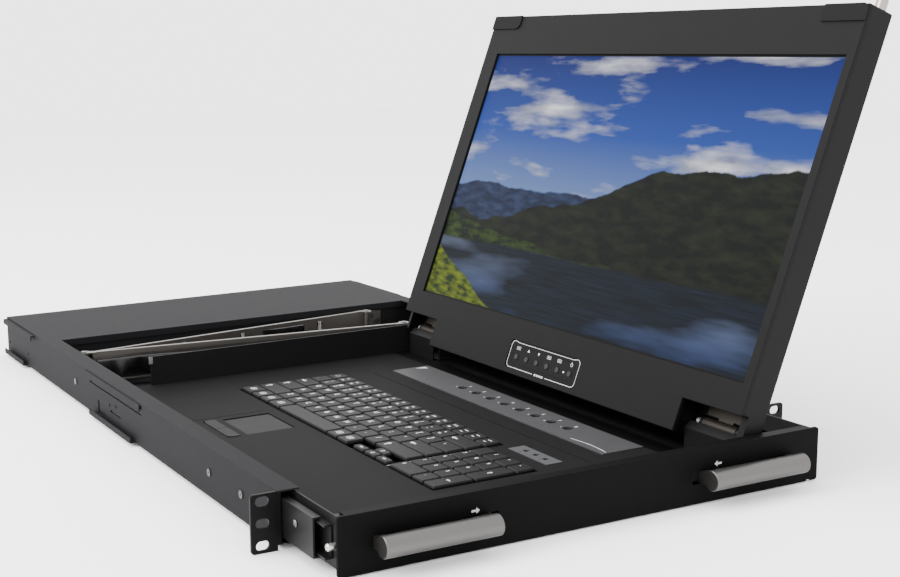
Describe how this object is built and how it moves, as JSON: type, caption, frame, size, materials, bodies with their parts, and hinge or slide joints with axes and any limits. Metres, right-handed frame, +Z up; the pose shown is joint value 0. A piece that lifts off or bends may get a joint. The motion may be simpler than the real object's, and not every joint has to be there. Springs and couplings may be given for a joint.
{
  "type": "kvm switch",
  "caption": "Rack drawer console: slotted ears, sliding tray with keyboard, touchpad and port buttons, and a wide screen hinged on its right side.",
  "frame": {"origin": "centre of the rack ears' slot pattern, in the plane of the ears' front faces", "axes": "+X to the right seen from the front, +Y to the rear of the rack, +Z up; the drawer pulls out along -Y"},
  "size_m": [0.5226, 0.8017, 0.368],
  "materials": {
    "case_pan": "satin black powder coat",
    "rear_cover": "satin black powder coat",
    "rear_panel": "satin black powder coat",
    "computer_ports": "fine matt texture",
    "port_studs": "nickel plated",
    "console_ports": "fine matt texture",
    "mains_inlet": "fine matt texture",
    "switch_frame": "fine matt texture",
    "switch_rocker": "smooth semi-gloss",
    "main_board": "fine matt texture",
    "power_supply": "fine matt texture",
    "rack_ears": "satin black powder coat",
    "slide_outers": "brushed zinc-plated steel",
    "slide_middles": "satin black powder coat",
    "slide_inners": "brushed zinc-plated steel",
    "tray_pan": "satin black powder coat",
    "letter_keys": "fine matt texture",
    "space_bar": "fine matt texture",
    "function_keys": "fine matt texture",
    "number_pad_keys": "fine matt texture",
    "deck_plate": "fine matt texture",
    "keyboard_base": "brushed zinc-plated steel",
    "touchpad": "fine matt texture",
    "touch_button_front": "fine matt texture",
    "touch_button_rear": "fine matt texture",
    "port_strip": "fine matt texture",
    "strip_board": "fine matt texture",
    "indicator_plate": "fine matt texture",
    "front_panel": "satin black powder coat",
    "side_cover": "satin black powder coat",
    "handle_left": "satin anodised",
    "handle_right": "satin anodised",
    "latch_bar_left": "brushed zinc-plated steel",
    "latch_bar_right": "brushed zinc-plated steel",
    "hinge_covers": "fine matt texture",
    "hinge_brackets": "satin black powder coat",
    "hinge_arms": "brushed zinc-plated steel",
    "lcd_bezel": "fine matt texture",
    "lcd_rear_cover": "fine matt texture",
    "lcd_glass": "anti-glare",
    "backlight": "brushed zinc-plated steel",
    "lcd_boards": "fine matt texture",
    "osd_menu_buttons": "smooth semi-gloss",
    "osd_power_button": "smooth semi-gloss",
    "lid_pin": "fine matt texture",
    "corner_bumpers": "matt",
    "arm_front_link": "brushed zinc-plated steel",
    "arm_rear_link": "brushed zinc-plated steel",
    "arm_case_bracket": "brushed zinc-plated steel",
    "arm_tray_bracket": "brushed zinc-plated steel",
    "case_screws": "brushed zinc-plated steel",
    "tray_screws": "brushed zinc-plated steel",
    "port_button_1": "fine matt texture",
    "port_button_2": "fine matt texture",
    "port_button_3": "fine matt texture",
    "port_button_4": "fine matt texture",
    "port_button_5": "fine matt texture",
    "port_button_6": "fine matt texture",
    "port_button_7": "fine matt texture",
    "port_button_8": "fine matt texture"
  },
  "bodies": {
    "case": {"case_pan": "case_pan", "rear_cover": "rear_cover", "rear_panel": "rear_panel", "computer_ports": "computer_ports", "port_studs": "port_studs", "console_ports": "console_ports", "mains_inlet": "mains_inlet", "switch_frame": "switch_frame", "main_board": "main_board", "power_supply": "power_supply", "rack_ears": "rack_ears", "slide_outers": "slide_outers", "arm_case_bracket": "arm_case_bracket", "case_screws": "case_screws"},
    "slide_middle": {"slide_middles": "slide_middles"},
    "tray": {"slide_inners": "slide_inners", "tray_pan": "tray_pan", "deck_plate": "deck_plate", "keyboard_base": "keyboard_base", "touchpad": "touchpad", "port_strip": "port_strip", "strip_board": "strip_board", "indicator_plate": "indicator_plate", "front_panel": "front_panel", "side_cover": "side_cover", "hinge_covers": "hinge_covers", "hinge_brackets": "hinge_brackets", "arm_tray_bracket": "arm_tray_bracket", "tray_screws": "tray_screws"},
    "lcd": {"hinge_arms": "hinge_arms", "lcd_bezel": "lcd_bezel", "lcd_rear_cover": "lcd_rear_cover", "lcd_glass": "lcd_glass", "backlight": "backlight", "lcd_boards": "lcd_boards", "lid_pin": "lid_pin", "corner_bumpers": "corner_bumpers"},
    "handle_left": {"handle_left": "handle_left", "latch_bar_left": "latch_bar_left"},
    "handle_right": {"handle_right": "handle_right", "latch_bar_right": "latch_bar_right"},
    "arm_front": {"arm_front_link": "arm_front_link"},
    "arm_rear": {"arm_rear_link": "arm_rear_link"},
    "touch_button_front": {"touch_button_front": "touch_button_front"},
    "touch_button_rear": {"touch_button_rear": "touch_button_rear"},
    "letter_keys": {"letter_keys": "letter_keys"},
    "space_bar": {"space_bar": "space_bar"},
    "function_keys": {"function_keys": "function_keys"},
    "number_pad_keys": {"number_pad_keys": "number_pad_keys"},
    "osd_menu_buttons": {"osd_menu_buttons": "osd_menu_buttons"},
    "osd_power_button": {"osd_power_button": "osd_power_button"},
    "switch_rocker": {"switch_rocker": "switch_rocker"},
    "port_button_1": {"port_button_1": "port_button_1"},
    "port_button_2": {"port_button_2": "port_button_2"},
    "port_button_3": {"port_button_3": "port_button_3"},
    "port_button_4": {"port_button_4": "port_button_4"},
    "port_button_5": {"port_button_5": "port_button_5"},
    "port_button_6": {"port_button_6": "port_button_6"},
    "port_button_7": {"port_button_7": "port_button_7"},
    "port_button_8": {"port_button_8": "port_button_8"}
  },
  "joints": [
    {"name": "tray_slide", "type": "slide", "parent": "case", "child": "tray", "axis": [0, -1, 0], "range_m": [-0.064, 0.385]},
    {"name": "middle_slide", "type": "slide", "parent": "case", "child": "slide_middle", "axis": [0, -1, 0], "range_m": [-0.032, 0.1925]},
    {"name": "lcd_tilt", "type": "hinge", "parent": "tray", "child": "lcd", "pos_m": [0.1556, 0.1915, 0.0166], "axis": [0, 1, 0], "range_deg": [-110.8, 9.2]},
    {"name": "handle_left_slide", "type": "slide", "parent": "tray", "child": "handle_left", "axis": [1, 0, 0], "range_m": [0, 0.007], "stiffness_N_per_m": 900, "springref_m": -0.003},
    {"name": "handle_right_slide", "type": "slide", "parent": "tray", "child": "handle_right", "axis": [-1, 0, 0], "range_m": [0, 0.007], "stiffness_N_per_m": 900, "springref_m": -0.003},
    {"name": "arm_front_swing", "type": "hinge", "parent": "tray", "child": "arm_front", "pos_m": [0.149, 0.4555, 0.005], "axis": [0, 0, -1], "range_deg": [-5.28, 31.75]},
    {"name": "arm_rear_swing", "type": "hinge", "parent": "case", "child": "arm_rear", "pos_m": [0.149, 0.54, 0.005], "axis": [0, 0, 1], "range_deg": [-5.28, 31.75]},
    {"name": "touch_button_front_press", "type": "slide", "parent": "tray", "child": "touch_button_front", "axis": [0, 0, -1], "range_m": [0, 0.0008], "stiffness_N_per_m": 700, "springref_m": -0.0006},
    {"name": "touch_button_rear_press", "type": "slide", "parent": "tray", "child": "touch_button_rear", "axis": [0, 0, -1], "range_m": [0, 0.0008], "stiffness_N_per_m": 700, "springref_m": -0.0006},
    {"name": "port_button_1_press", "type": "slide", "parent": "tray", "child": "port_button_1", "axis": [0, 0, -1], "range_m": [0, 0.0008], "stiffness_N_per_m": 700, "springref_m": -0.0006},
    {"name": "port_button_2_press", "type": "slide", "parent": "tray", "child": "port_button_2", "axis": [0, 0, -1], "range_m": [0, 0.0008], "stiffness_N_per_m": 700, "springref_m": -0.0006},
    {"name": "port_button_3_press", "type": "slide", "parent": "tray", "child": "port_button_3", "axis": [0, 0, -1], "range_m": [0, 0.0008], "stiffness_N_per_m": 700, "springref_m": -0.0006},
    {"name": "port_button_4_press", "type": "slide", "parent": "tray", "child": "port_button_4", "axis": [0, 0, -1], "range_m": [0, 0.0008], "stiffness_N_per_m": 700, "springref_m": -0.0006},
    {"name": "port_button_5_press", "type": "slide", "parent": "tray", "child": "port_button_5", "axis": [0, 0, -1], "range_m": [0, 0.0008], "stiffness_N_per_m": 700, "springref_m": -0.0006},
    {"name": "port_button_6_press", "type": "slide", "parent": "tray", "child": "port_button_6", "axis": [0, 0, -1], "range_m": [0, 0.0008], "stiffness_N_per_m": 700, "springref_m": -0.0006},
    {"name": "port_button_7_press", "type": "slide", "parent": "tray", "child": "port_button_7", "axis": [0, 0, -1], "range_m": [0, 0.0008], "stiffness_N_per_m": 700, "springref_m": -0.0006},
    {"name": "port_button_8_press", "type": "slide", "parent": "tray", "child": "port_button_8", "axis": [0, 0, -1], "range_m": [0, 0.0008], "stiffness_N_per_m": 700, "springref_m": -0.0006},
    {"name": "letter_keys_press", "type": "slide", "parent": "tray", "child": "letter_keys", "axis": [0, 0, -1], "range_m": [0, 0.002], "stiffness_N_per_m": 900, "springref_m": -0.003},
    {"name": "space_bar_press", "type": "slide", "parent": "tray", "child": "space_bar", "axis": [0, 0, -1], "range_m": [0, 0.002], "stiffness_N_per_m": 900, "springref_m": -0.003},
    {"name": "function_keys_press", "type": "slide", "parent": "tray", "child": "function_keys", "axis": [0, 0, -1], "range_m": [0, 0.002], "stiffness_N_per_m": 900, "springref_m": -0.003},
    {"name": "number_pad_keys_press", "type": "slide", "parent": "tray", "child": "number_pad_keys", "axis": [0, 0, -1], "range_m": [0, 0.002], "stiffness_N_per_m": 900, "springref_m": -0.003},
    {"name": "osd_menu_buttons_press", "type": "slide", "parent": "lcd", "child": "osd_menu_buttons", "axis": [0.9348, 0, -0.3551], "range_m": [0, 0.0006], "stiffness_N_per_m": 700, "springref_m": -0.0006},
    {"name": "osd_power_button_press", "type": "slide", "parent": "lcd", "child": "osd_power_button", "axis": [0.9348, 0, -0.3551], "range_m": [0, 0.0006], "stiffness_N_per_m": 700, "springref_m": -0.0006},
    {"name": "switch_tilt", "type": "hinge", "parent": "case", "child": "switch_rocker", "pos_m": [0.145, 0.707, 0.0015], "axis": [1, 0, 0], "range_deg": [-7, 7]}
  ],
  "couplings": [
    {"joint": "middle_slide", "follows": "tray_slide", "ratio": 0.5},
    {"joint": "arm_front_swing", "follows": "tray_slide", "rad_per_m": 1.4391},
    {"joint": "arm_rear_swing", "follows": "tray_slide", "rad_per_m": 1.4391}
  ]
}
